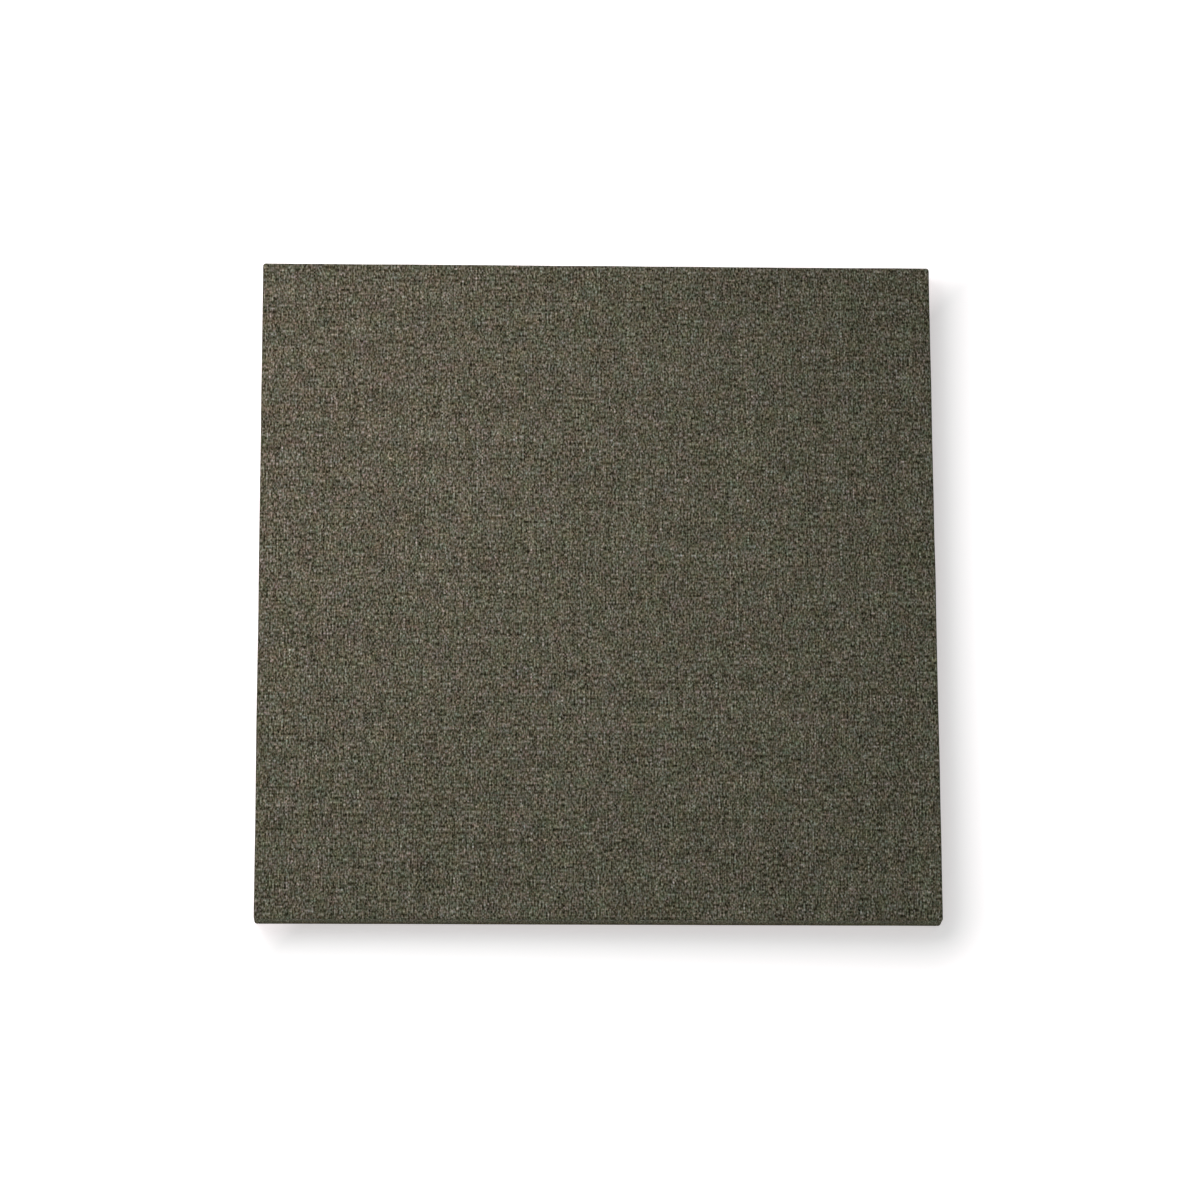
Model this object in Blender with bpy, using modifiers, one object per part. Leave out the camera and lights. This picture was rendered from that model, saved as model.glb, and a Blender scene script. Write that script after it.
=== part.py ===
"""Fabric acoustic wall panel: a glass-fibre board wrapped in one sheet of woven cloth.

The panel lies on its back with its face up. +X runs across the panel, +Y runs up the wall
that it would hang on, and +Z comes out of its face. The origin is on the floor, under the
panel's centre. Lengths are in metres.
"""

import math

import bmesh
import bpy
from mathutils import Matrix, Vector

# Driving sizes of the finished panel
panel_width = 0.6096
panel_height = 0.6096
panel_thickness = 0.0254

# The cloth and how it is folded
cloth_thickness = 0.0009
return_width = 0.038
folded_corner_depth = 0.042
mitre_gap = 0.0004
tuck_gap = 0.0004
tuck_depth = 0.0005
tuck_inset = 0.0009
tuck_stop = 0.003

# The board inside
board_edge_radius = 0.0013
fit_gap = 0.0003

# How finely rounded edges are cut, and how far a cutter reaches past what it cuts
edge_segments = 4
fold_segments = 4
overcut = 0.0001
cutter_reach = 0.002
weld_distance = 0.000001
sharp_from_degrees = 30

# Derived sizes
wrap_radius = board_edge_radius + fit_gap + cloth_thickness
board_inset = cloth_thickness + fit_gap
board_width = panel_width - 2 * board_inset
board_height = panel_height - 2 * board_inset
lip_radius = cloth_thickness + overcut
half_mitre = mitre_gap / 2 + lip_radius
corner_signs = [(1, 1), (-1, 1), (-1, -1), (1, -1)]


def clear_scene():
    """Removes whatever the file holds, so that the script gives the same result each run."""
    for leftover in list(bpy.data.objects):
        bpy.data.objects.remove(leftover, do_unlink=True)
    for leftover in list(bpy.data.collections):
        bpy.data.collections.remove(leftover)


def new_collection(name):
    """A collection of that name under the scene's own."""
    collection = bpy.data.collections.new(name)
    bpy.context.scene.collection.children.link(collection)
    return collection


def principled(name, colour, roughness):
    """A plain material with a Principled BSDF."""
    material = bpy.data.materials.new(name)
    material.use_nodes = True
    shader = material.node_tree.nodes["Principled BSDF"]
    shader.inputs["Base Color"].default_value = (*colour, 1.0)
    shader.inputs["Roughness"].default_value = roughness
    shader.inputs["Metallic"].default_value = 0.0
    return material


def rounded_block(width, height, bottom, top, radius):
    """A bmesh block from bottom to top, centred on Z, with every edge rounded to radius."""
    block = bmesh.new()
    bmesh.ops.create_cube(block, size=1.0)
    bmesh.ops.scale(block, vec=(width, height, top - bottom), verts=block.verts)
    bmesh.ops.translate(block, vec=(0.0, 0.0, (bottom + top) / 2), verts=block.verts)
    bmesh.ops.bevel(
        block,
        geom=block.edges[:],
        offset=radius,
        offset_type="OFFSET",
        segments=edge_segments,
        profile=0.5,
        affect="EDGES",
    )
    return block


def add_object(name, mesh, collection):
    """An object that holds the mesh, in the collection."""
    piece = bpy.data.objects.new(name, mesh)
    collection.objects.link(piece)
    return piece


def add_bmesh(name, source, collection):
    """Turns a bmesh into an object in the collection, and frees it."""
    mesh = bpy.data.meshes.new(name)
    source.to_mesh(mesh)
    source.free()
    return add_object(name, mesh, collection)


def extruded_outline(name, outline, length, place, collection):
    """A flat closed outline, drawn as a 2D curve and extruded to length about its own plane.

    The outline is a list of (u, v) points, and place carries u, v and the extrusion into the
    panel's frame. The curve becomes a mesh, with its caps welded, so that it can join or cut.
    """
    curve = bpy.data.curves.new(name, "CURVE")
    curve.dimensions = "2D"
    curve.fill_mode = "BOTH"
    curve.extrude = length / 2
    spline = curve.splines.new("POLY")
    spline.points.add(len(outline) - 1)
    for point, (u, v) in zip(spline.points, outline):
        point.co = (u, v, 0.0, 1.0)
    spline.use_cyclic_u = True
    drawn = add_object(name + "_outline", curve, collection)
    bpy.context.view_layer.update()
    graph = bpy.context.evaluated_depsgraph_get()
    mesh = bpy.data.meshes.new_from_object(drawn.evaluated_get(graph))
    bpy.data.objects.remove(drawn, do_unlink=True)
    mesh.transform(place)
    closed = bmesh.new()
    closed.from_mesh(mesh)
    bmesh.ops.remove_doubles(closed, verts=closed.verts, dist=weld_distance)
    bmesh.ops.recalc_face_normals(closed, faces=closed.faces)
    closed.to_mesh(mesh)
    closed.free()
    return add_object(name, mesh, collection)


def make_guide(piece):
    """Marks an object that only joins or cuts another, so that it isn't part of the panel."""
    piece.hide_render = True
    piece.display_type = "WIRE"


def boolean(piece, tool, operation):
    """Joins the tool to the piece, or cuts it from the piece."""
    modifier = piece.modifiers.new(tool.name, "BOOLEAN")
    modifier.operation = operation
    modifier.solver = "EXACT"
    modifier.object = tool


def corner_triangle(name, sign_x, sign_y, outer, depth, bottom, top, collection):
    """A triangular slab in one corner of the back, between the heights bottom and top.

    Its square corner is at outer (x, y) from the panel's centre, and its long side crosses
    the diagonal at depth from the panel's own corner.
    """
    outer_x, outer_y = outer
    past_corner = (outer_x - panel_width / 2) + (outer_y - panel_height / 2)
    leg = depth * math.sqrt(2) + past_corner
    outline = [
        (sign_x * outer_x, sign_y * outer_y),
        (sign_x * (outer_x - leg), sign_y * outer_y),
        (sign_x * outer_x, sign_y * (outer_y - leg)),
    ]
    place = Matrix.Translation((0.0, 0.0, (bottom + top) / 2))
    slab = extruded_outline(name, outline, top - bottom, place, collection)
    make_guide(slab)
    return slab


def mitre_section():
    """The section of the slit where two folded edges of cloth meet on the back.

    Across the slit is u and up from the floor is v. Each side is a quarter circle, because
    the cloth is folded under there. It rises just past the cloth, so that the returns part.
    """
    rising = []
    for step in range(fold_segments + 1):
        turn = math.pi / 2 * step / fold_segments
        across = half_mitre - lip_radius * math.sin(turn)
        rising.append((across, lip_radius - lip_radius * math.cos(turn)))
    right = [(half_mitre, -cutter_reach), *rising]
    left = [(-across, up) for across, up in reversed(right)]
    return right + left


def mitre_slit(name, sign_x, sign_y, collection):
    """Cuts the returns apart along the diagonal, from the window's corner to the panel's."""
    past_window = half_mitre + cutter_reach
    inner = Vector((panel_width / 2 - return_width, panel_height / 2 - return_width, 0.0))
    outer = Vector((panel_width / 2, panel_height / 2, 0.0))
    diagonal = (outer - inner).normalized()
    start = inner - diagonal * past_window
    end = outer + diagonal * cutter_reach
    along = Vector((sign_x * diagonal.x, sign_y * diagonal.y, 0.0))
    across = Vector((0.0, 0.0, 1.0)).cross(along)
    middle = (start + end) / 2
    place = Matrix.Identity(4)
    place.col[0] = (*across, 0.0)
    place.col[1] = (0.0, 0.0, 1.0, 0.0)
    place.col[2] = (*along, 0.0)
    place.col[3] = (sign_x * middle.x, sign_y * middle.y, 0.0, 1.0)
    slit = extruded_outline(name, mitre_section(), (end - start).length, place, collection)
    make_guide(slit)
    return slit


def tuck_seam(name, sign_x, sign_y, under_layer, collection):
    """Cuts the line where the folded cloth lies over itself, beside an upright corner.

    The line is on the top or bottom side of the panel. It runs from the mitre on the back,
    round the edge and up the side, and stops short of the face. It is as deep as tuck_depth
    all along, because the layer below it is taken out of the cutter.
    """
    from_side = wrap_radius + tuck_inset
    low = Vector((panel_width / 2 - from_side - tuck_gap, panel_height / 2 - from_side, -cutter_reach))
    high = Vector(
        (
            panel_width / 2 - from_side,
            panel_height / 2 + cutter_reach,
            panel_thickness - wrap_radius - tuck_stop,
        )
    )
    seam = bmesh.new()
    bmesh.ops.create_cube(seam, size=1.0)
    bmesh.ops.scale(seam, vec=high - low, verts=seam.verts)
    middle = (low + high) / 2
    centre = Vector((sign_x * middle.x, sign_y * middle.y, middle.z))
    bmesh.ops.translate(seam, vec=centre, verts=seam.verts)
    piece = add_bmesh(name, seam, collection)
    make_guide(piece)
    boolean(piece, under_layer, "DIFFERENCE")
    return piece


def build_fabric_wrap(panel, guides):
    """The cloth: over the face and the four sides, and turned onto the back as returns.

    It starts as a block with rounded edges whose back has a window, and is given the cloth's
    thickness inwards. At each corner of the back, the corner of the cloth is folded in first
    and lies under the returns, and the returns meet over it in a mitre.
    """
    shell = rounded_block(panel_width, panel_height, 0.0, panel_thickness, wrap_radius)
    shell.faces.ensure_lookup_table()
    back = min(shell.faces, key=lambda face: face.calc_center_median().z)
    inset = return_width - wrap_radius
    bmesh.ops.inset_region(shell, faces=[back], thickness=inset, use_even_offset=True)
    bmesh.ops.delete(shell, geom=[back], context="FACES_ONLY")
    wrap = add_bmesh("fabric_wrap", shell, panel)

    cloth = wrap.modifiers.new("cloth_thickness", "SOLIDIFY")
    cloth.thickness = cloth_thickness
    cloth.offset = -1.0
    cloth.use_even_offset = True

    folded_outer = (panel_width / 2 - wrap_radius, panel_height / 2 - wrap_radius)
    for number, (sign_x, sign_y) in enumerate(corner_signs, start=1):
        folded = corner_triangle(
            f"folded_corner_{number}",
            sign_x,
            sign_y,
            folded_outer,
            folded_corner_depth,
            cloth_thickness / 2,
            2 * cloth_thickness,
            guides,
        )
        boolean(wrap, folded, "UNION")

    under = rounded_block(
        panel_width - 2 * tuck_depth,
        panel_height - 2 * tuck_depth,
        tuck_depth,
        panel_thickness - tuck_depth,
        wrap_radius - tuck_depth,
    )
    under_layer = add_bmesh("under_layer", under, guides)
    make_guide(under_layer)
    for number, (sign_x, sign_y) in enumerate(corner_signs, start=1):
        boolean(wrap, mitre_slit(f"mitre_slit_{number}", sign_x, sign_y, guides), "DIFFERENCE")
        seam = tuck_seam(f"tuck_seam_{number}", sign_x, sign_y, under_layer, guides)
        boolean(wrap, seam, "DIFFERENCE")
    return wrap


def build_core_board(panel, guides):
    """The glass-fibre board that fills the wrap, bare on its back inside the window.

    Its back corners are pressed in by one layer of cloth, which is folded in there.
    """
    top = panel_thickness - board_inset
    block = rounded_block(board_width, board_height, board_inset, top, board_edge_radius)
    board = add_bmesh("core_board", block, panel)
    pressed_outer = (board_width / 2 + cutter_reach, board_height / 2 + cutter_reach)
    for number, (sign_x, sign_y) in enumerate(corner_signs, start=1):
        pressed = corner_triangle(
            f"pressed_corner_{number}",
            sign_x,
            sign_y,
            pressed_outer,
            folded_corner_depth + fit_gap,
            board_inset - cutter_reach,
            board_inset + cloth_thickness,
            guides,
        )
        boolean(board, pressed, "DIFFERENCE")
    return board


def finish(piece, material):
    """Gives a piece its material, smooth rounded edges and flat faces."""
    piece.data.materials.append(material)
    piece.data.shade_smooth()
    piece.data.set_sharp_from_angle(angle=math.radians(sharp_from_degrees))


clear_scene()
panel = new_collection("fabric_acoustic_wall_panel")
guides = new_collection("cutters_and_guides")
guides.hide_render = True

finish(build_fabric_wrap(panel, guides), principled("heathered_cloth", (0.092, 0.087, 0.063), 0.95))
finish(build_core_board(panel, guides), principled("glass_fibre_board", (0.56, 0.45, 0.19), 0.9))
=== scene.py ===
"""Looks of the fabric acoustic wall panel, which lies on its back with its cloth face up."""

from math import pi, radians

import bmesh
import bpy
import numpy as np
from mathutils import Euler, Matrix, Vector


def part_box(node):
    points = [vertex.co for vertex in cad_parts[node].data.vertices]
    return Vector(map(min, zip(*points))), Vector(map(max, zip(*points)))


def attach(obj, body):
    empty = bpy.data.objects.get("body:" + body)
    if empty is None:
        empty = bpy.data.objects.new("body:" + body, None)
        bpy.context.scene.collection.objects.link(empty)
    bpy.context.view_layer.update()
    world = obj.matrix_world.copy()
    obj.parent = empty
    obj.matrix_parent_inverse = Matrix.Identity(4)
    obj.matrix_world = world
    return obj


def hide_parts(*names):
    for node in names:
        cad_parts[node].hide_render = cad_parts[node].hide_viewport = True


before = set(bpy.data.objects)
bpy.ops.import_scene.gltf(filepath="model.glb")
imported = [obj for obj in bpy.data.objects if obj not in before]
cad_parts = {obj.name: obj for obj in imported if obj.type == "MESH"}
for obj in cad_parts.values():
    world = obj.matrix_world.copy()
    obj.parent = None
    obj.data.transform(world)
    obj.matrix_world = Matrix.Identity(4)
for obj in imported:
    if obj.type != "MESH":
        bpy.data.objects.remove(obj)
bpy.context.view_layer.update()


# The core: a semi-rigid board of glass wool, pressed flat between hot rollers and set with a
# yellow binder. Its edges are hardened with resin, and its bare back is a felt of fine glass
# fibres that lie every way. The cloth is glued round it.

board_low, board_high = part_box("core_board")
board_edge_radius = 0.0013
board_round_steps = 4
board_side_rows = 6
board_spacing = 0.0036

lump_relief = 0.00011
lump_count = 60
lump_lengths = (0.009, 0.05)
lump_seed = 11
lumps_from_edge = 0.045
lumps_rise = 0.01

wool_roughness = 0.88
fibre_headings = (0.3, 0.95, 1.6, 2.2, 2.8)
fibre_length = 0.0045
fibre_width = 0.0004
fibre_range = (0.52, 0.8)
fibre_shades = (0.7, 1.25)
fibre_relief = 0.0004
clump_scale = 45.0
clump_range = (0.3, 0.7)
clump_shades = (0.9, 1.08)
clump_tint_range = (0.35, 0.65)
dark_wool = (0.53, 0.40, 0.14, 1.0)
pale_wool = (0.62, 0.51, 0.25, 1.0)

merge_distance = 1e-6
crease_angle = radians(50)


def stations(half, near_ends, spacing):
    """Places along a straight side from -half to half.

    Both ends have points at the distances near_ends, which start at 0 and rise, and between
    them the steps are even and about as long as spacing.
    """
    inner = half - near_ends[-1]
    middle = np.linspace(-inner, inner, 1 + round(2 * inner / spacing))
    ends = half - np.array(near_ends[:-1])
    return np.concatenate([-ends, middle, ends[::-1]])


def around(x_share, y_share, arc_steps):
    """Once round a rectangle with rounded corners, anticlockwise from the foot of its right side.

    A station is (a, b, w): its centre of curvature lies at the share a of the half width and b
    of the half height, and its edge faces the direction w, in radians from +X. Along a side w
    stays and a or b runs, and round a corner a and b stay at 1 or -1 and w turns by a quarter.
    """
    arc = np.linspace(0, pi / 2, arc_steps + 1)[1:-1]
    one_x, one_y, one_arc = np.ones_like(x_share), np.ones_like(y_share), np.ones_like(arc)
    a = [one_y, one_arc, -x_share, -one_arc, -one_y, -one_arc, x_share, one_arc]
    b = [y_share, one_arc, one_x, one_arc, -y_share, -one_arc, -one_x, -one_arc]
    w = [0 * one_y, arc, 0 * one_x, arc, 0 * one_y, arc, 0 * one_x, arc]
    quarter = [0, 0, 1, 1, 2, 2, 3, 3]
    w = [turn + count * pi / 2 for turn, count in zip(w, quarter)]
    return np.concatenate(a), np.concatenate(b), np.concatenate(w)


def edge_section(low, high, radius, round_steps, side_rows, reach):
    """The section through an edge, from the face to the back.

    It is a quarter circle, the upright side, a quarter circle, and the return, whose points lie
    at the distances reach from the side. The result is four rows of numbers: the distance in
    from the side, the height, the angle that the surface faces above level, and the length of
    cloth from where the first curve starts.
    """
    turn = np.linspace(0, pi / 2, round_steps + 1)
    side = np.linspace(high - radius, low + radius, side_rows + 1)[1:-1]
    inset = np.concatenate(
        [radius - radius * np.sin(turn), 0 * side, radius - radius * np.cos(turn), reach]
    )
    height = np.concatenate(
        [
            high - radius + radius * np.cos(turn),
            side,
            low + radius - radius * np.sin(turn),
            low + 0 * reach,
        ]
    )
    facing = np.concatenate([pi / 2 - turn, 0 * side, -turn, -pi / 2 + 0 * reach])
    upright = high - low - 2 * radius
    length = np.concatenate(
        [
            radius * turn,
            radius * pi / 2 + high - radius - side,
            radius * pi / 2 + upright + radius * turn,
            radius * pi + upright + reach - radius,
        ]
    )
    return inset, height, facing, length


def carried_round(half_x, half_y, radius, section, path):
    """The section carried round the path: points and the directions that they face.

    At a distance n in from the side the outline's corner has the radius radius - n, or none
    further in, and the centre of its curve lies max(n, radius) in from both sides.
    """
    inset, height, facing, _ = section
    a, b, w = (values[:, None] for values in path)
    centre_in = np.maximum(inset, radius)
    bend = centre_in - inset
    points = np.stack(
        [
            a * (half_x - centre_in) + bend * np.cos(w),
            b * (half_y - centre_in) + bend * np.sin(w),
            height + 0 * w,
        ],
        axis=-1,
    )
    out = np.stack(
        [np.cos(facing) * np.cos(w), np.cos(facing) * np.sin(w), np.sin(facing) + 0 * w], axis=-1
    )
    return points, out


def grid_faces(rows, columns, first=0, closed=False):
    """Quads of a grid of rows by columns points that is numbered along its rows.

    They face the side from which the rows run to the right and the columns run up. Where the
    grid is closed, its last row is joined to the first.
    """
    wide = rows if closed else rows - 1
    row, column = np.meshgrid(np.arange(wide), np.arange(columns - 1), indexing="ij")
    next_row = (row + 1) % rows
    corners = [
        row * columns + column,
        next_row * columns + column,
        next_row * columns + column + 1,
        row * columns + column + 1,
    ]
    return first + np.stack([corner.ravel() for corner in corners], axis=-1)


def piece_from(name, points, faces, flat=None):
    """An object made of the points and quads, with its doubled points merged.

    flat is a place in the flat cloth for each corner of each quad, kept as the UV map
    flat_cloth.
    """
    mesh = bpy.data.meshes.new(name)
    mesh.from_pydata(points, [], faces)
    if flat is not None:
        flat_cloth = mesh.uv_layers.new(name="flat_cloth")
        flat_cloth.data.foreach_set("uv", flat.astype(np.float32).ravel())
    merged = bmesh.new()
    merged.from_mesh(mesh)
    bmesh.ops.remove_doubles(merged, verts=merged.verts, dist=merge_distance)
    merged.to_mesh(mesh)
    merged.free()
    mesh.shade_smooth()
    mesh.set_sharp_from_angle(angle=crease_angle)
    piece = bpy.data.objects.new(name, mesh)
    bpy.context.scene.collection.objects.link(piece)
    return piece


def soft_waves(x, y, count, shortest, longest, seed):
    """Rolling unevenness of height about 1: the sum of count cosine waves over the plane.

    Each has a random direction, length and phase, and the sum is divided by the root of count.
    """
    random = np.random.default_rng(seed)
    total = np.zeros(np.broadcast(x, y).shape)
    for _ in range(count):
        heading, phase = random.uniform(0, 2 * pi, 2)
        length = random.uniform(shortest, longest)
        total += np.cos(2 * pi * (x * np.cos(heading) + y * np.sin(heading)) / length + phase)
    return total / np.sqrt(count)


def feed(tree, socket, value):
    """Sets a socket from another socket or from a plain value."""
    if isinstance(value, bpy.types.NodeSocket):
        tree.links.new(value, socket)
    else:
        socket.default_value = value


def maths(tree, operation, *values):
    """A Math node on sockets or numbers."""
    node = tree.nodes.new("ShaderNodeMath")
    node.operation = operation
    for socket, value in zip(node.inputs, values):
        feed(tree, socket, value)
    return node.outputs["Value"]


def vector_maths(tree, operation, *values):
    """A Vector Math node on sockets or vectors."""
    node = tree.nodes.new("ShaderNodeVectorMath")
    node.operation = operation
    for socket, value in zip(node.inputs, values):
        feed(tree, socket, value)
    return node.outputs["Vector"]


def scaled(tree, vector, share):
    """A colour or vector times one number."""
    node = tree.nodes.new("ShaderNodeVectorMath")
    node.operation = "SCALE"
    feed(tree, node.inputs[0], vector)
    feed(tree, node.inputs["Scale"], share)
    return node.outputs["Vector"]


def ranged(tree, value, low, high, new_low, new_high, smooth=False):
    """Carries low..high to new_low..new_high, and holds it there outside."""
    node = tree.nodes.new("ShaderNodeMapRange")
    node.interpolation_type = "SMOOTHSTEP" if smooth else "LINEAR"
    for name, given in zip(
        ("Value", "From Min", "From Max", "To Min", "To Max"), (value, low, high, new_low, new_high)
    ):
        feed(tree, node.inputs[name], given)
    return node.outputs["Result"]


def noise(tree, place, scale, detail=0.0, roughness=0.5):
    """A noise over the place: its value and its colour."""
    node = tree.nodes.new("ShaderNodeTexNoise")
    feed(tree, node.inputs["Vector"], place)
    node.inputs["Scale"].default_value = scale
    node.inputs["Detail"].default_value = detail
    node.inputs["Roughness"].default_value = roughness
    return node.outputs["Fac"], node.outputs["Color"]


def mixed(tree, share, first, second):
    """Two colours mixed by share."""
    node = tree.nodes.new("ShaderNodeMix")
    node.data_type = "RGBA"
    feed(tree, node.inputs["Factor"], share)
    feed(tree, node.inputs["A"], first)
    feed(tree, node.inputs["B"], second)
    return node.outputs["Result"]


def new_material(name, roughness):
    """A material with one Principled shader, which takes the roughness."""
    material = bpy.data.materials.new(name)
    material.use_nodes = True
    shader = material.node_tree.nodes["Principled BSDF"]
    shader.inputs["Roughness"].default_value = roughness
    return material, material.node_tree, shader


def glass_wool_material():
    """Pressed glass wool: streaks of fibre at each of the headings over a mottled yellow.

    A streak is a noise drawn out along its heading, and the strongest of them shows.
    """
    material, tree, shader = new_material("pressed_glass_wool", wool_roughness)
    place = tree.nodes.new("ShaderNodeTexCoord").outputs["Object"]
    streaks = 0.0
    for heading in fibre_headings:
        turned = tree.nodes.new("ShaderNodeMapping")
        turned.vector_type = "TEXTURE"
        turned.inputs["Rotation"].default_value = (0.0, 0.0, heading)
        turned.inputs["Scale"].default_value = (fibre_length, fibre_width, fibre_length)
        feed(tree, turned.inputs["Vector"], place)
        lines, _ = noise(tree, turned.outputs["Vector"], 1.0, detail=3.0, roughness=0.6)
        streaks = maths(tree, "MAXIMUM", streaks, lines)
    clumps, _ = noise(tree, place, clump_scale, detail=4.0, roughness=0.6)
    fibre = ranged(tree, streaks, *fibre_range, *fibre_shades)
    patch = ranged(tree, clumps, *clump_range, *clump_shades)
    shade = maths(tree, "MULTIPLY", fibre, patch)
    tint = mixed(tree, ranged(tree, clumps, *clump_tint_range, 0.0, 1.0), dark_wool, pale_wool)
    tree.links.new(scaled(tree, tint, shade), shader.inputs["Base Color"])
    bump = tree.nodes.new("ShaderNodeBump")
    bump.inputs["Distance"].default_value = fibre_relief
    feed(tree, bump.inputs["Height"], streaks)
    tree.links.new(bump.outputs["Normal"], shader.inputs["Normal"])
    return material


def make_board():
    """The board: a block with rounded edges, whose back is uneven inside the cloth's window.

    The unevenness is soft waves times a share, which rises from 0 to 1 on the way in from the
    window's edge.
    """
    half_x, half_y = board_high.x, board_high.y
    radius = board_edge_radius
    inner_x, inner_y = half_x - radius, half_y - radius
    x = stations(inner_x, [0.0, board_spacing], board_spacing)
    y = stations(inner_y, [0.0, board_spacing], board_spacing)
    path = around(x / inner_x, y / inner_y, board_round_steps)
    no_return = np.array([])
    section = edge_section(
        board_low.z, board_high.z, radius, board_round_steps, board_side_rows, no_return
    )
    band, _ = carried_round(half_x, half_y, radius, section, path)
    across, up = np.meshgrid(x, y, indexing="ij")
    inside_x = np.clip((inner_x - np.abs(across) - lumps_from_edge) / lumps_rise, 0, 1)
    inside_y = np.clip((inner_y - np.abs(up) - lumps_from_edge) / lumps_rise, 0, 1)
    lumps = inside_x * inside_y * soft_waves(across, up, lump_count, *lump_lengths, lump_seed)
    face = np.stack([across, up, board_high.z + 0 * up], axis=-1)
    back = np.stack([across, up, board_low.z - lump_relief * lumps], axis=-1)
    sheets = [band, face, back]
    first = np.cumsum([0] + [sheet.shape[0] * sheet.shape[1] for sheet in sheets])
    faces = [
        grid_faces(band.shape[0], band.shape[1], first[0], closed=True)[:, ::-1],
        grid_faces(len(x), len(y), first[1]),
        grid_faces(len(x), len(y), first[2])[:, ::-1],
    ]
    points = np.concatenate([sheet.reshape(-1, 3) for sheet in sheets])
    board = piece_from("glass_wool_board", points, np.concatenate(faces))
    board.data.materials.append(glass_wool_material())
    return board


board = make_board()
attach(board, "root")
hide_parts("core_board")


# The wrap: one square sheet of heathered plain weave, about 17 yarns to the inch both ways. It
# is stretched over the board's face and sides, and glued to its back as a return. At each
# corner the cloth is folded in under the returns, which leaves a tuck beside the corner.

wrap_low, wrap_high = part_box("fabric_wrap")
wrap_radius = 0.0025
cloth_thickness = 0.0009
return_width = 0.038
face_half_x, face_half_y = wrap_high.x - wrap_radius, wrap_high.y - wrap_radius
face_spacing = 0.0042
# The grid has lines at these distances from each end of a side, close together at the tuck.
near_ends_mm = (0, 0.3, 0.6, 0.9, 1.0, 1.2, 1.3, 1.6, 2.1, 3.0, 4.5, 6.5, 9.0, 12.0)
skin_round_steps = 6
skin_side_rows = 9
skin_return_rows = 12
lining_steps = 3
angle_tolerance = 1e-6
sliver_area = 1e-12

tuck_from_side = 0.0036
tuck_depth = 0.0005
tuck_half_width = 0.00018
tuck_below_face = 0.004
tuck_fade = 0.002
fold_height = 0.0003
fold_start = 0.0011
fold_length = 0.006
fold_below_face = 0.003
fold_fade = 0.004
lip_depth = 0.0009
slack_relief = 0.00012
slack_count = 24
slack_lengths = (0.05, 0.2)
slack_seed = 5
floor_fade = 0.006

yarn_pitch = 0.00152
yarn_relief = 0.00022
fibre_relief_share = 0.25
warp_widths = (0.72, 1.04)
weft_widths = (0.82, 1.02)
yarn_wave = 0.5
yarn_round = 0.75
yarn_stray = 0.0016
stray_scale = 160.0

noise_step_per_yarn = 7.31
weft_numbers_from = 731.0
warp_seed, weft_seed, heather_seed, thread_seed = 0.0, 50.0, 90.0, 20.0
slub_step, heather_step, thread_step = 0.08, 0.55, 0.008
slub_range = (0.3, 0.72)
fibre_across, fibre_along, fibre_lean = 6.0, 0.9, 1.6

cloth_roughness = 0.95
cloth_gloss = 0.08
cloth_sheen = 0.02
sheen_roughness = 0.6
cloth_colour = (0.0887, 0.0896, 0.0594)
tone_powers = (2.12, 2.2, 2.63)
fleck_scale = (675.0, 324.0, 540.0)
fleck_strength = 1.8
heather_strength = 1.1
fibre_strength = 0.65
patch_scale = 70.0
cloud_strength = 0.08
thread_strength = 0.62
warp_slub_strength = 2.0
weft_slub_strength = 0.5
yarn_hues = (1.02, 0.47, 0.6)
patch_hues = (0.5, 0.31, 0.38)
darkest_tone = 0.1
depth_heights = (-0.1, 0.95)
depth_shades = (0.1, 1.25)

# Painted shade: the cloth's colour is darkened along its front bends, and low on its sides more
# towards the back, and tinted warm there.
shade_across = 0.0012
shade_down = 0.003
shade_blur = 0.0006
bend_painted_shade = 0.1
low_painted_shade = 0.6
low_shade_height = 0.022
painted_shade_tint = (0.85, 1.0, 1.3)


def edge_painted_shade(tree):
    """The share of painted shade on the cloth at its edges, which darkens its colour.

    The place is measured past the flat of the face towards a side, and down from the face. The
    painted shade of the front bends is one band, and that of the sides grows towards the back.
    """
    place = tree.nodes.new("ShaderNodeTexCoord").outputs["Object"]
    past = vector_maths(tree, "SUBTRACT", vector_maths(tree, "ABSOLUTE", place), wrap_high)
    split = tree.nodes.new("ShaderNodeSeparateXYZ")
    feed(tree, split.inputs[0], past)
    past_flat = maths(tree, "MAXIMUM", split.outputs["X"], split.outputs["Y"])
    down = split.outputs["Z"]
    side_rise = (-shade_across - shade_blur, -shade_across + shade_blur)
    bend_rise = (-shade_down - shade_blur, -shade_down + shade_blur)
    at_side = ranged(tree, past_flat, *side_rise, 0.0, 1.0, smooth=True)
    bend = ranged(tree, down, *bend_rise, 0.0, bend_painted_shade, smooth=True)
    low = ranged(tree, down, -wrap_high.z, low_shade_height - wrap_high.z, low_painted_shade, 0.0)
    return maths(tree, "MULTIPLY", at_side, maths(tree, "ADD", bend, low))


def yarn_noise(tree, number, along, step, seed, detail):
    """A noise along each yarn, which has its own line in the noise for its number."""
    spot = tree.nodes.new("ShaderNodeCombineXYZ")
    feed(tree, spot.inputs["X"], maths(tree, "MULTIPLY", number, noise_step_per_yarn))
    feed(tree, spot.inputs["Y"], maths(tree, "MULTIPLY", along, step))
    feed(tree, spot.inputs["Z"], seed)
    return noise(tree, spot.outputs["Vector"], 1.0, detail=detail, roughness=0.6)


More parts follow.
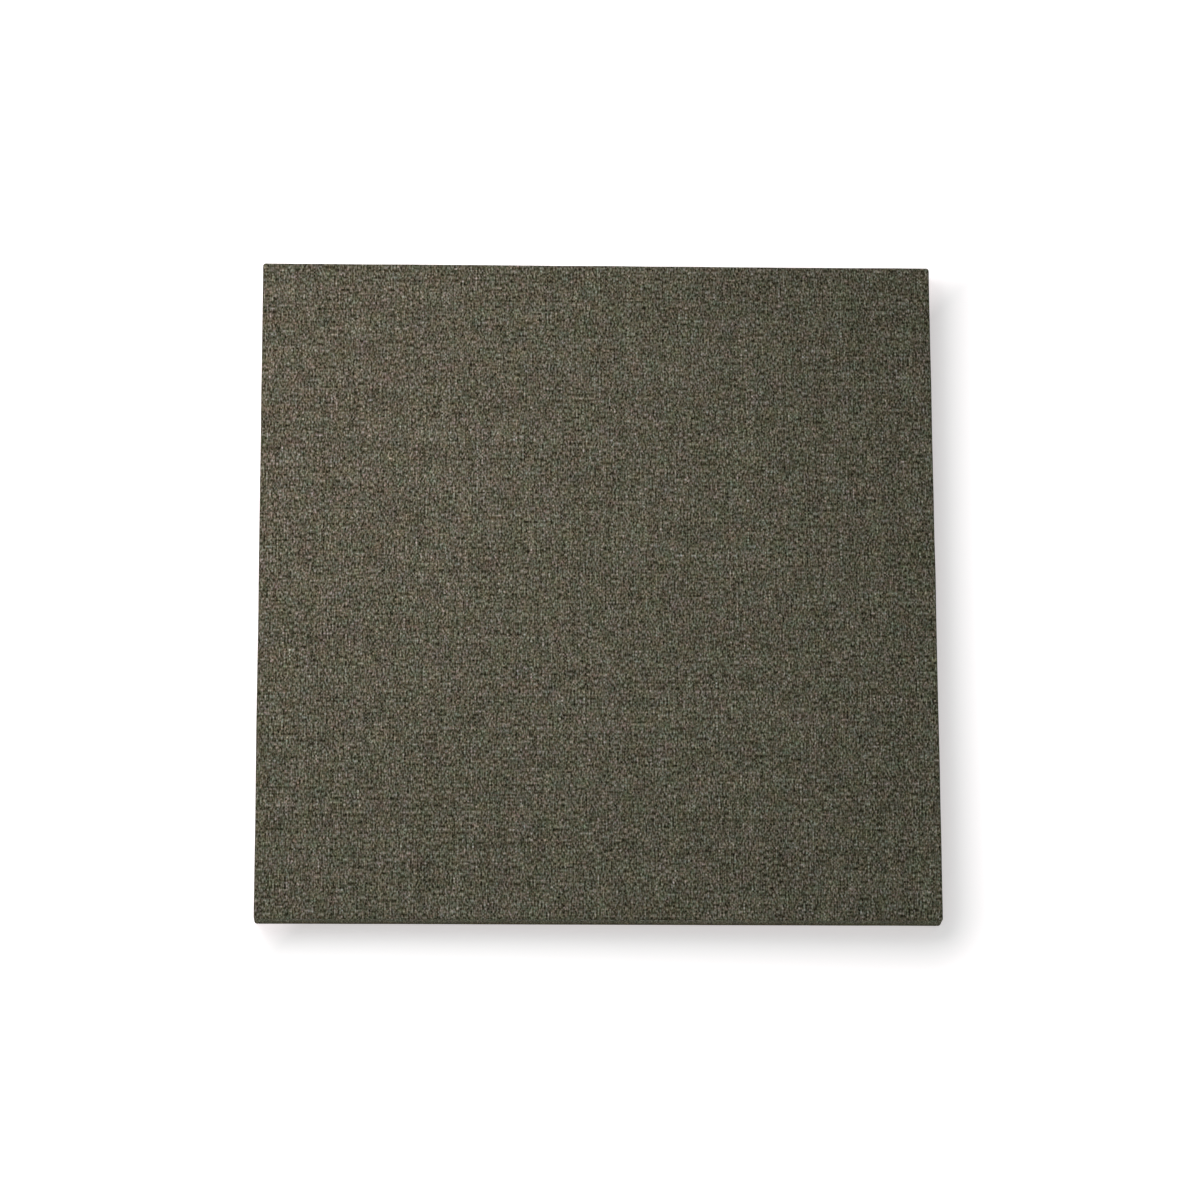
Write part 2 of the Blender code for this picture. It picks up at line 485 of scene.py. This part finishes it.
def yarn_surface(tree, across, along, number, widths, sign, seed):
    """The height of one set of yarns, from -0.5 to 1.25, and the slubs along each yarn.

    The height is half a cosine along the yarn plus a half round across it: it is the middle
    line's wave over and under the other yarns, and the yarn's own roundness. The sign of the
    wave is 1 for the warp and -1 for the weft, so that where one set is up the other is down.
    """
    slub, _ = yarn_noise(tree, number, along, slub_step, seed, detail=2.0)
    width = ranged(tree, slub, *slub_range, *widths)
    off = maths(tree, "SUBTRACT", maths(tree, "FRACT", across), 0.5)
    share = maths(tree, "DIVIDE", off, maths(tree, "MULTIPLY", width, 0.5))
    beside = maths(tree, "SUBTRACT", 1.0, maths(tree, "MULTIPLY", share, share))
    beside = maths(tree, "MAXIMUM", beside, 0.0)
    turn = maths(tree, "ADD", maths(tree, "SUBTRACT", along, 0.5), number)
    turn = maths(tree, "MULTIPLY", turn, pi)
    wave = maths(tree, "MULTIPLY", maths(tree, "COSINE", turn), sign * yarn_wave)
    return maths(tree, "MULTIPLY_ADD", maths(tree, "SQRT", beside), yarn_round, wave), slub


def interlaced(tree, place):
    """The two sets of yarns over the place, counted in yarns, and which of them shows.

    Warp yarn i and weft yarn j cross in the cell (i, j), and the higher one shows there. The
    yarns stray a little from straight lines by a noise. The result is the height, the number
    of the yarn that shows, the places along it and across it, and the slubs of the warp and of
    the weft, each of them 0.5 where the other shows.
    """
    _, stray = noise(tree, place, stray_scale, detail=2.0)
    stray = vector_maths(tree, "SUBTRACT", stray, (0.5, 0.5, 0.5))
    stray = vector_maths(tree, "MULTIPLY", stray, (yarn_stray, yarn_stray, 0.0))
    strayed = vector_maths(tree, "ADD", place, stray)
    counted = vector_maths(tree, "DIVIDE", strayed, (yarn_pitch, yarn_pitch, 1.0))
    split = tree.nodes.new("ShaderNodeSeparateXYZ")
    feed(tree, split.inputs[0], counted)
    u, v = split.outputs["X"], split.outputs["Y"]
    warp, weft = maths(tree, "FLOOR", u), maths(tree, "FLOOR", v)
    warp_height, warp_slub = yarn_surface(tree, u, v, warp, warp_widths, sign=1.0, seed=warp_seed)
    weft_height, weft_slub = yarn_surface(tree, v, u, weft, weft_widths, sign=-1.0, seed=weft_seed)
    height = maths(tree, "MAXIMUM", warp_height, weft_height)
    warp_shows = maths(tree, "GREATER_THAN", warp_height, weft_height)

    def of_top(of_warp, of_weft):
        """The warp's value where the warp shows, and else the weft's."""
        more = maths(tree, "SUBTRACT", of_warp, of_weft)
        return maths(tree, "MULTIPLY_ADD", warp_shows, more, of_weft)

    number = of_top(warp, maths(tree, "ADD", weft, weft_numbers_from))
    along, across = of_top(v, u), of_top(u, v)
    return height, number, along, across, of_top(warp_slub, 0.5), of_top(0.5, weft_slub)


def fibre_streaks(tree, number, along, across):
    """The fibres of a yarn: a noise drawn out along it, which leans as twist makes them lean."""
    lean = maths(tree, "MULTIPLY", along, fibre_lean)
    spot = tree.nodes.new("ShaderNodeCombineXYZ")
    feed(tree, spot.inputs["X"], maths(tree, "MULTIPLY_ADD", across, fibre_across, lean))
    feed(tree, spot.inputs["Y"], maths(tree, "MULTIPLY", along, fibre_along))
    feed(tree, spot.inputs["Z"], number)
    fibre, _ = noise(tree, spot.outputs["Vector"], 1.0, detail=1.0)
    return fibre


def weave_material():
    """Heathered plain weave over the place in the flat cloth, kept in the UV map flat_cloth.

    The tone is a sum of noises about 1: the flecks of the felted surface, the heather and the
    fibres along the yarn, faint clouds, the yarn's own thread, and its slubs. Each channel of
    the colour is the cloth's own colour times the tone to a power, times a hue that varies
    about 1, less the share of painted shade at the edges, times the painted shade of the depth
    between the yarns.
    """
    material, tree, shader = new_material("heathered_plain_weave", cloth_roughness)
    shader.inputs["Specular IOR Level"].default_value = cloth_gloss
    shader.inputs["Sheen Weight"].default_value = cloth_sheen
    shader.inputs["Sheen Roughness"].default_value = sheen_roughness
    flat = tree.nodes.new("ShaderNodeUVMap")
    flat.uv_map = "flat_cloth"
    place = flat.outputs["UV"]

    height, number, along, across, warp_slub, weft_slub = interlaced(tree, place)
    heather, heather_hue = yarn_noise(tree, number, along, heather_step, heather_seed, detail=3.0)
    thread, _ = yarn_noise(tree, number, along, thread_step, thread_seed, detail=1.0)
    fibre = fibre_streaks(tree, number, along, across)
    fleck, _ = noise(tree, vector_maths(tree, "MULTIPLY", place, fleck_scale), 1.0)
    cloud, patch_hue = noise(tree, place, patch_scale, detail=3.0, roughness=0.6)

    tone = 1.0
    for part, strength in (
        (fleck, fleck_strength),
        (heather, heather_strength),
        (fibre, fibre_strength),
        (cloud, cloud_strength),
        (thread, thread_strength),
        (warp_slub, warp_slub_strength),
        (weft_slub, weft_slub_strength),
    ):
        tone = maths(tree, "MULTIPLY_ADD", maths(tree, "SUBTRACT", part, 0.5), strength, tone)
    light = maths(tree, "MAXIMUM", tone, darkest_tone)
    shades = tree.nodes.new("ShaderNodeCombineXYZ")
    for channel, power in zip("XYZ", tone_powers):
        feed(tree, shades.inputs[channel], maths(tree, "POWER", light, power))

    hue = (1.0, 1.0, 1.0)
    for part, strengths in ((heather_hue, yarn_hues), (patch_hue, patch_hues)):
        centred = vector_maths(tree, "SUBTRACT", part, (0.5, 0.5, 0.5))
        hue = vector_maths(tree, "MULTIPLY_ADD", centred, strengths, hue)

    hued = vector_maths(tree, "MULTIPLY", shades.outputs["Vector"], hue)
    shaded = vector_maths(tree, "MULTIPLY", hued, cloth_colour)
    # Painted shade at the edges darkens the cloth's colour.
    painted_shade = scaled(tree, painted_shade_tint, edge_painted_shade(tree))
    unshaded = vector_maths(tree, "SUBTRACT", (1.0, 1.0, 1.0), painted_shade)
    depth = ranged(tree, height, *depth_heights, *depth_shades)
    coloured = scaled(tree, vector_maths(tree, "MULTIPLY", shaded, unshaded), depth)
    tree.links.new(coloured, shader.inputs["Base Color"])

    bump = tree.nodes.new("ShaderNodeBump")
    bump.inputs["Distance"].default_value = yarn_relief
    relief = maths(tree, "MULTIPLY_ADD", fibre, fibre_relief_share, height)
    feed(tree, bump.inputs["Height"], relief)
    tree.links.new(bump.outputs["Normal"], shader.inputs["Normal"])
    return material


def side_marks(path):
    """Three columns on the stations of the path, which the tucks and folds go by.

    They are whether a station lies round a corner, whether it lies on the top or bottom side,
    and how far it is along x from the nearer end of that side's straight.
    """
    a, b, w = (values[:, None] for values in path)
    is_corner = (np.abs(a) == 1) & (np.abs(b) == 1) & (np.abs(np.sin(2 * w)) > angle_tolerance)
    is_y_side = (np.abs(b) == 1) & ~is_corner & (np.abs(np.cos(w)) < angle_tolerance)
    return is_corner, is_y_side, (1 - np.abs(a)) * face_half_x


def slack(x, y, z):
    """The slack in the cloth: soft waves over the face that run on down the sides."""
    return soft_waves(x + z, y - z, slack_count, *slack_lengths, slack_seed)


def stands_proud(path, section, points):
    """How far the cloth's outer skin stands out of its plain section.

    The tuck is a narrow groove, a bell curve across, down each end of the top and bottom sides.
    A low fold starts beside it and dies away along the side. On the back each return ends at
    the mitre in a lip, a quarter circle across. The fold and the slack end above the floor.
    """
    inset, _, facing, _ = section
    a, b, _ = (values[:, None] for values in path)
    _, is_y_side, end_x = side_marks(path)
    height = points[..., 2]
    below_face = wrap_high.z - height
    on_back = facing < -pi / 2 + angle_tolerance

    from_tuck = end_x - (tuck_from_side - wrap_radius)
    tuck = np.exp(-((from_tuck / tuck_half_width) ** 2)) * is_y_side
    tuck = tuck * ~on_back * np.clip((below_face - tuck_below_face) / tuck_fade, 0, 1)

    fold = np.exp(-np.maximum(end_x - fold_start, 0) / fold_length)
    fold = fold * is_y_side * (end_x > fold_start) * ~on_back
    fold = fold * np.clip((below_face - fold_below_face) / fold_fade, 0, 1)

    half_of_side = np.where(is_y_side, wrap_high.x, wrap_high.y) - np.maximum(inset, wrap_radius)
    from_mitre = (1 - np.where(is_y_side, np.abs(a), np.abs(b))) * half_of_side / np.sqrt(2)
    lip = np.clip(1 - from_mitre / lip_depth, 0, 1) * on_back
    lip = 1 - np.sqrt(np.maximum(1 - lip**2, 0))

    off_floor = np.clip((height - wrap_low.z) / floor_fade, 0, 1) * ~on_back
    waves = slack(points[..., 0], points[..., 1], height)
    proud = (slack_relief * waves + fold_height * fold) * off_floor
    return proud - tuck_depth * tuck - lip_depth * lip


def flat_places(path, section, points, to_y):
    """The place in the flat cloth of each point of a band round the panel.

    Past the face it is the length of cloth over the edge, towards the top or the foot where
    to_y is true, and else towards the right or the left. There the corner's curve and the flap
    folded round it run on past the face's end.
    """
    a, b, w = (values[:, None] for values in path)
    length = section[3]
    if to_y:
        return np.stack([points[..., 0], np.sign(b) * (face_half_y + length)], axis=-1)
    is_corner, is_y_side, end_x = side_marks(path)
    turn = np.arcsin(np.clip(np.abs(np.sin(w)), 0, 1))
    past = face_half_y + wrap_radius * turn + end_x * is_y_side
    beside = np.where(is_corner | is_y_side, np.sign(b) * past, points[..., 1])
    return np.stack([np.sign(a) * (face_half_x + length), beside], axis=-1)


def band_corners(path, section, points):
    """Quads of a band round the panel, and the flat cloth under each of their corners.

    The top and bottom sides have the flap of the right or left side's cloth as far as the tuck,
    and their own cloth past it and on the back.
    """
    _, is_y_side, end_x = side_marks(path)
    columns, rows = points.shape[:2]
    quads = grid_faces(columns, rows, closed=True)[:, ::-1]
    column, row = quads[:, 3] // rows, quads[:, 3] % rows
    next_column = (column + 1) % columns
    middle = (end_x[column, 0] + end_x[next_column, 0]) / 2
    on_y_side = is_y_side[column, 0] & is_y_side[next_column, 0]
    on_back = section[2][row] < -pi / 2 + angle_tolerance
    to_y = on_y_side & ((middle > tuck_from_side - wrap_radius) | on_back)
    places = np.where(
        to_y[:, None, None],
        flat_places(path, section, points, True).reshape(-1, 2)[quads],
        flat_places(path, section, points, False).reshape(-1, 2)[quads],
    )
    return quads, places


def cut_corners(path, section, points):
    """Quads of the cut edge between the two skins, and the flat cloth at their corners."""
    _, is_y_side, _ = side_marks(path)
    columns = len(points)
    quads = grid_faces(columns, 2, closed=True)[:, ::-1]
    column = quads[:, 3] // 2
    on_y_side = is_y_side[column, 0] & is_y_side[(column + 1) % columns, 0]
    to_y_ends, to_x_ends = (
        np.repeat(flat_places(path, section, points, to_y)[:, -1:], 2, axis=1).reshape(-1, 2)
        for to_y in (True, False)
    )
    return quads, np.where(on_y_side[:, None, None], to_y_ends[quads], to_x_ends[quads])


def make_wrap():
    """The cloth as one closed sheet: outer skin, inner skin, and the cut edge between them.

    Each skin is a grid over the face and a band, the section through the edge carried round
    the outline. The inner skin is plain, and lies the cloth's thickness in from the outer one.
    """
    near_ends = np.array(near_ends_mm) / 1000
    x = stations(face_half_x, near_ends, face_spacing)
    y = stations(face_half_y, near_ends, face_spacing)
    across, up = np.meshgrid(x, y, indexing="ij")
    path = around(x / face_half_x, y / face_half_y, skin_round_steps)

    outer_return = np.linspace(wrap_radius, return_width, skin_return_rows + 1)[1:]
    outer = edge_section(
        wrap_low.z, wrap_high.z, wrap_radius, skin_round_steps, skin_side_rows, outer_return
    )
    plain, out = carried_round(wrap_high.x, wrap_high.y, wrap_radius, outer, path)
    skin = plain + out * stands_proud(path, outer, plain)[..., None]
    face_height = wrap_high.z + slack_relief * slack(across, up, wrap_high.z)
    face = np.stack([across, up, face_height], axis=-1)

    thick = cloth_thickness
    low, high, radius = wrap_low.z + thick, wrap_high.z - thick, wrap_radius - thick
    inner_return = np.linspace(wrap_radius, return_width, lining_steps)[1:] - thick
    inner = edge_section(low, high, radius, lining_steps, lining_steps, inner_return)
    lining, _ = carried_round(wrap_high.x - thick, wrap_high.y - thick, radius, inner, path)
    ceiling = np.stack([across, up, high + 0 * up], axis=-1)
    cut = np.stack([skin[:, -1], lining[:, -1]], axis=1)

    sheets = [skin, face, lining, ceiling, cut]
    first = np.cumsum([0] + [sheet.shape[0] * sheet.shape[1] for sheet in sheets])
    skin_quads, skin_flat = band_corners(path, outer, plain)
    lining_quads, lining_flat = band_corners(path, inner, lining)
    cut_quads, cut_flat = cut_corners(path, outer, plain)
    face_quads = grid_faces(len(x), len(y))
    face_flat = face[..., :2].reshape(-1, 2)[face_quads]
    quads = [skin_quads, face_quads, lining_quads[:, ::-1], face_quads[:, ::-1], cut_quads]
    places = [skin_flat, face_flat, lining_flat[:, ::-1], face_flat[:, ::-1], cut_flat]
    quads = np.concatenate([start + group for start, group in zip(first, quads)])
    places = np.concatenate(places)
    points = np.concatenate([sheet.reshape(-1, 3) for sheet in sheets])
    corner = points[quads]
    crossed = np.cross(corner[:, 2] - corner[:, 0], corner[:, 3] - corner[:, 1])
    kept = np.linalg.norm(crossed, axis=-1) > sliver_area
    wrap = piece_from("heathered_cloth_wrap", points, quads[kept], places[kept])
    wrap.data.materials.append(weave_material())
    return wrap


wrap = make_wrap()
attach(wrap, "root")
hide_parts("fabric_wrap")


# The yarns along the cloth's cut edges, on the back. Each one ends a little past the edge that
# the shears left, and has worked loose there.

dark_yarn = (0.060, 0.057, 0.040, 1.0)
pale_yarn = (0.170, 0.160, 0.115, 1.0)
yarn_tone_scale = 420.0
yarn_tone_range = (0.3, 0.7)
yarn_radius = 0.00034
yarn_radius_shares = (0.8, 1.05)
yarn_tip_share = 0.55
yarn_place_spread = 0.00012
loose_lengths = (0.0006, 0.0024)
loose_aside = 0.0007
loose_rises = (-0.00008, 0.0002)
loose_root = 0.0012
loose_seed = 23
yarn_rings = 5
ring_points = 6


def yarn_material():
    """Loose yarn in the cloth's own colour, which varies from yarn to yarn."""
    material, tree, shader = new_material("loose_yarn", cloth_roughness)
    shader.inputs["Specular IOR Level"].default_value = cloth_gloss
    place = tree.nodes.new("ShaderNodeTexCoord").outputs["Object"]
    vary, _ = noise(tree, place, yarn_tone_scale, detail=1.0)
    share = ranged(tree, vary, *yarn_tone_range, 0.0, 1.0)
    tree.links.new(mixed(tree, share, dark_yarn, pale_yarn), shader.inputs["Base Color"])
    return material


def make_yarn_ends():
    """A short bent tube for each yarn along the four edges of the window.

    Yarn k of a side lies at (k + 1/2) pitches along it. Its middle line runs in from the edge,
    and bends aside and up with the square of the way. Its rings have six points each, the last
    of them the thinnest, and two quads close each end.
    """
    reach = wrap_high.x - return_width
    count = int(reach / yarn_pitch) - 1
    along = (np.arange(-count, count) + 0.5) * yarn_pitch
    random = np.random.default_rng(loose_seed)
    way = np.linspace(0, 1, yarn_rings)
    spin = np.arange(ring_points) * 2 * pi / ring_points
    each = (len(along), 1)
    groups = []
    for quarter in range(4):
        loose = random.uniform(*loose_lengths, each)
        start = along[:, None] + random.normal(0, yarn_place_spread, each)
        aside = start + random.uniform(-loose_aside, loose_aside, each) * way**2
        inward = reach + loose_root - (loose + loose_root) * way
        rise = cloth_thickness / 2 + random.uniform(*loose_rises, each) * way**2
        radius = yarn_radius * random.uniform(*yarn_radius_shares, each)
        radius = radius * (1 - (1 - yarn_tip_share) * way**3)
        ring_side = aside[..., None] + radius[..., None] * np.cos(spin)
        ring_up = rise[..., None] + radius[..., None] * np.sin(spin)
        ring_in = np.broadcast_to(inward[..., None], ring_side.shape)
        turn = quarter * pi / 2
        points = np.stack(
            [
                ring_in * np.cos(turn) - ring_side * np.sin(turn),
                ring_in * np.sin(turn) + ring_side * np.cos(turn),
                ring_up,
            ],
            axis=-1,
        )
        groups.append(points.reshape(-1, 3))
    points = np.concatenate(groups)
    each_yarn = yarn_rings * ring_points
    base = np.arange(len(points) // each_yarn)[:, None, None] * each_yarn
    step, spoke = np.meshgrid(np.arange(yarn_rings - 1), np.arange(ring_points), indexing="ij")
    near = step * ring_points + spoke
    beside = step * ring_points + (spoke + 1) % ring_points
    tube = np.stack([near, near + ring_points, beside + ring_points, beside], axis=-1)
    tube = tube.reshape(1, -1, 4)
    root = np.array([[0, 1, 2, 3], [0, 3, 4, 5]])[None]
    tip = np.array([[3, 2, 1, 0], [5, 4, 3, 0]])[None] + each_yarn - ring_points
    quads = np.concatenate([base + tube, base + root, base + tip], axis=1).reshape(-1, 4)
    ends = piece_from("loose_yarn_ends", points, quads)
    ends.data.materials.append(yarn_material())
    return ends


yarn_ends = make_yarn_ends()
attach(yarn_ends, "root")


# The studio: a wide white floor in a pale room, a large softbox with a grid high on the upper
# left, another low and far off at the foot, and a faint warm one over the upper left corner.
# The floor and the room look pure white, and the floor keeps the panel's shadow.

floor_half = 30.0
floor_colour = (0.75, 0.86, 0.84, 1.0)
floor_glow_colour = (1.0, 0.891, 0.911, 1.0)
# The floor's glow is painted light; close_glow and lit_side_glow paint out shade beside the panel.
floor_glow = 0.353
close_glow = 0.12
close_ends = (0.3, 0.319)
lit_side_glow = 0.36
lit_side_rise = (-0.043, 0.0)
glow_rises = (0.309, 0.408)
glow_square = 0.29
room_light = 0.41


def seen_directly(tree):
    """1 for rays that show the background as it is: camera, glossy and transmission rays."""
    path = tree.nodes.new("ShaderNodeLightPath").outputs
    either = maths(tree, "MAXIMUM", path["Is Camera Ray"], path["Is Glossy Ray"])
    return maths(tree, "MAXIMUM", either, path["Is Transmission Ray"])


def floor_material():
    """White paper that shows pure white where no shadow lies on it.

    It has a glow that lights nothing and is only seen: painted light, which makes the paper
    white and sets how its shadow fades. Away from the panel the glow is 1. It is weak beside
    the panel, where the shadow lies, and rises with the distance from a square with rounded
    corners, so that the shadow fades into white. A little is added right at the panel's edge,
    which paints out part of the shade there, and more on the side of the key softbox, which
    paints out the shade beside the panel on that side.
    """
    material, tree, shader = new_material("white_floor", roughness=1.0)
    shader.inputs["Base Color"].default_value = floor_colour
    shader.inputs["Specular IOR Level"].default_value = 0.0
    place = tree.nodes.new("ShaderNodeTexCoord").outputs["Object"]
    split = tree.nodes.new("ShaderNodeSeparateXYZ")
    feed(tree, split.inputs[0], place)
    x, y = split.outputs["X"], split.outputs["Y"]
    square = (glow_square, glow_square, 0.0)
    outside = vector_maths(tree, "SUBTRACT", vector_maths(tree, "ABSOLUTE", place), square)
    apart = tree.nodes.new("ShaderNodeVectorMath")
    apart.operation = "LENGTH"
    feed(tree, apart.inputs[0], vector_maths(tree, "MAXIMUM", outside, (0.0, 0.0, 0.0)))
    away = maths(tree, "ADD", apart.outputs["Value"], glow_square)
    glow = ranged(tree, away, *glow_rises, floor_glow, 1.0, smooth=True)
    lit_side = ranged(tree, maths(tree, "SUBTRACT", y, x), *lit_side_rise, 0.0, lit_side_glow)
    close = ranged(tree, away, *close_ends, close_glow, 0.0)
    glow = maths(tree, "ADD", glow, maths(tree, "ADD", lit_side, close))
    shader.inputs["Emission Color"].default_value = floor_glow_colour
    seen = maths(tree, "MULTIPLY", glow, seen_directly(tree))
    feed(tree, shader.inputs["Emission Strength"], seen)
    return material


def make_floor():
    """One large square under the panel."""
    mesh = bpy.data.meshes.new("studio_floor")
    half = floor_half
    corners = [(-half, -half, 0), (half, -half, 0), (half, half, 0), (-half, half, 0)]
    mesh.from_pydata(corners, [], [(0, 1, 2, 3)])
    mesh.materials.append(floor_material())
    floor = bpy.data.objects.new("studio_floor", mesh)
    bpy.context.scene.collection.objects.link(floor)
    return floor


def make_room():
    """The even light of a pale room, which the camera sees as white."""
    world = bpy.data.worlds.new("pale_room")
    world.use_nodes = True
    tree = world.node_tree
    background = tree.nodes["Background"]
    background.inputs["Color"].default_value = (1.0, 1.0, 1.0, 1.0)
    strength = ranged(tree, seen_directly(tree), 0.0, 1.0, room_light, 1.0)
    feed(tree, background.inputs["Strength"], strength)
    bpy.context.scene.world = world


def make_softbox(name, power, side, distance, height_angle, turn, aim, spread, colour):
    """A square softbox that faces the aim.

    It stands at the distance from the panel's middle, at the height angle above the floor and
    at the turn round from +X. The spread is the angle by which the light may leave it, which
    the grid on its front sets.
    """
    lamp = bpy.data.lights.new(name, "AREA")
    lamp.shape = "SQUARE"
    lamp.size = side
    lamp.energy = power
    lamp.color = colour
    lamp.spread = spread
    softbox = bpy.data.objects.new(name, lamp)
    bpy.context.scene.collection.objects.link(softbox)
    swing = Euler((0.0, pi / 2 - height_angle, turn), "XYZ").to_matrix()
    stand = swing @ Vector((0.0, 0.0, distance))
    facing = (stand - Vector(aim)).to_track_quat("Z", "Y")
    softbox.matrix_world = Matrix.Translation(stand) @ facing.to_matrix().to_4x4()


floor = make_floor()
make_room()
make_softbox(
    "key_softbox",
    power=2.79,
    side=0.948,
    distance=0.918,
    height_angle=radians(54.7),
    turn=radians(142.2),
    aim=(-0.217, 0.026, 0.0),
    spread=radians(103.8),
    colour=(1.0, 0.86, 0.88),
)
make_softbox(
    "fill_softbox",
    power=8.5,
    side=0.8,
    distance=2.4,
    height_angle=radians(11),
    turn=radians(270),
    aim=(0.0, 0.0, 0.0),
    spread=radians(180),
    colour=(1.0, 0.86, 0.86),
)
make_softbox(
    "warm_softbox",
    power=0.031,
    side=0.3,
    distance=1.0,
    height_angle=radians(55),
    turn=radians(150),
    aim=(-0.28, 0.16, 0.0),
    spread=radians(44),
    colour=(1.0, 0.25, 0.4),
)


# The camera stands well back, a little towards the panel's foot, and looks down on it. Its long
# lens keeps the panel's sides almost parallel.

camera_lens_mm = 150.0
camera_sensor_mm = 36.0
camera_clip_end = 200.0
camera_distance = 4.4949
camera_aside = (0.00177, -0.01199)
camera_tilt = (0.2640, -0.0357, 0.0056)

lens = bpy.data.cameras.new("camera")
lens.lens = camera_lens_mm
lens.sensor_width = camera_sensor_mm
lens.clip_end = camera_clip_end
camera = bpy.data.objects.new("camera", lens)
bpy.context.scene.collection.objects.link(camera)
look = Euler(camera_tilt, "ZYX").to_matrix().to_4x4()
stand = Matrix.Translation((*camera_aside, camera_distance))
camera.matrix_world = Matrix.Translation((0.0, 0.0, wrap_high.z)) @ look @ stand
bpy.context.scene.camera = camera
bpy.context.scene.view_settings.view_transform = "Standard"
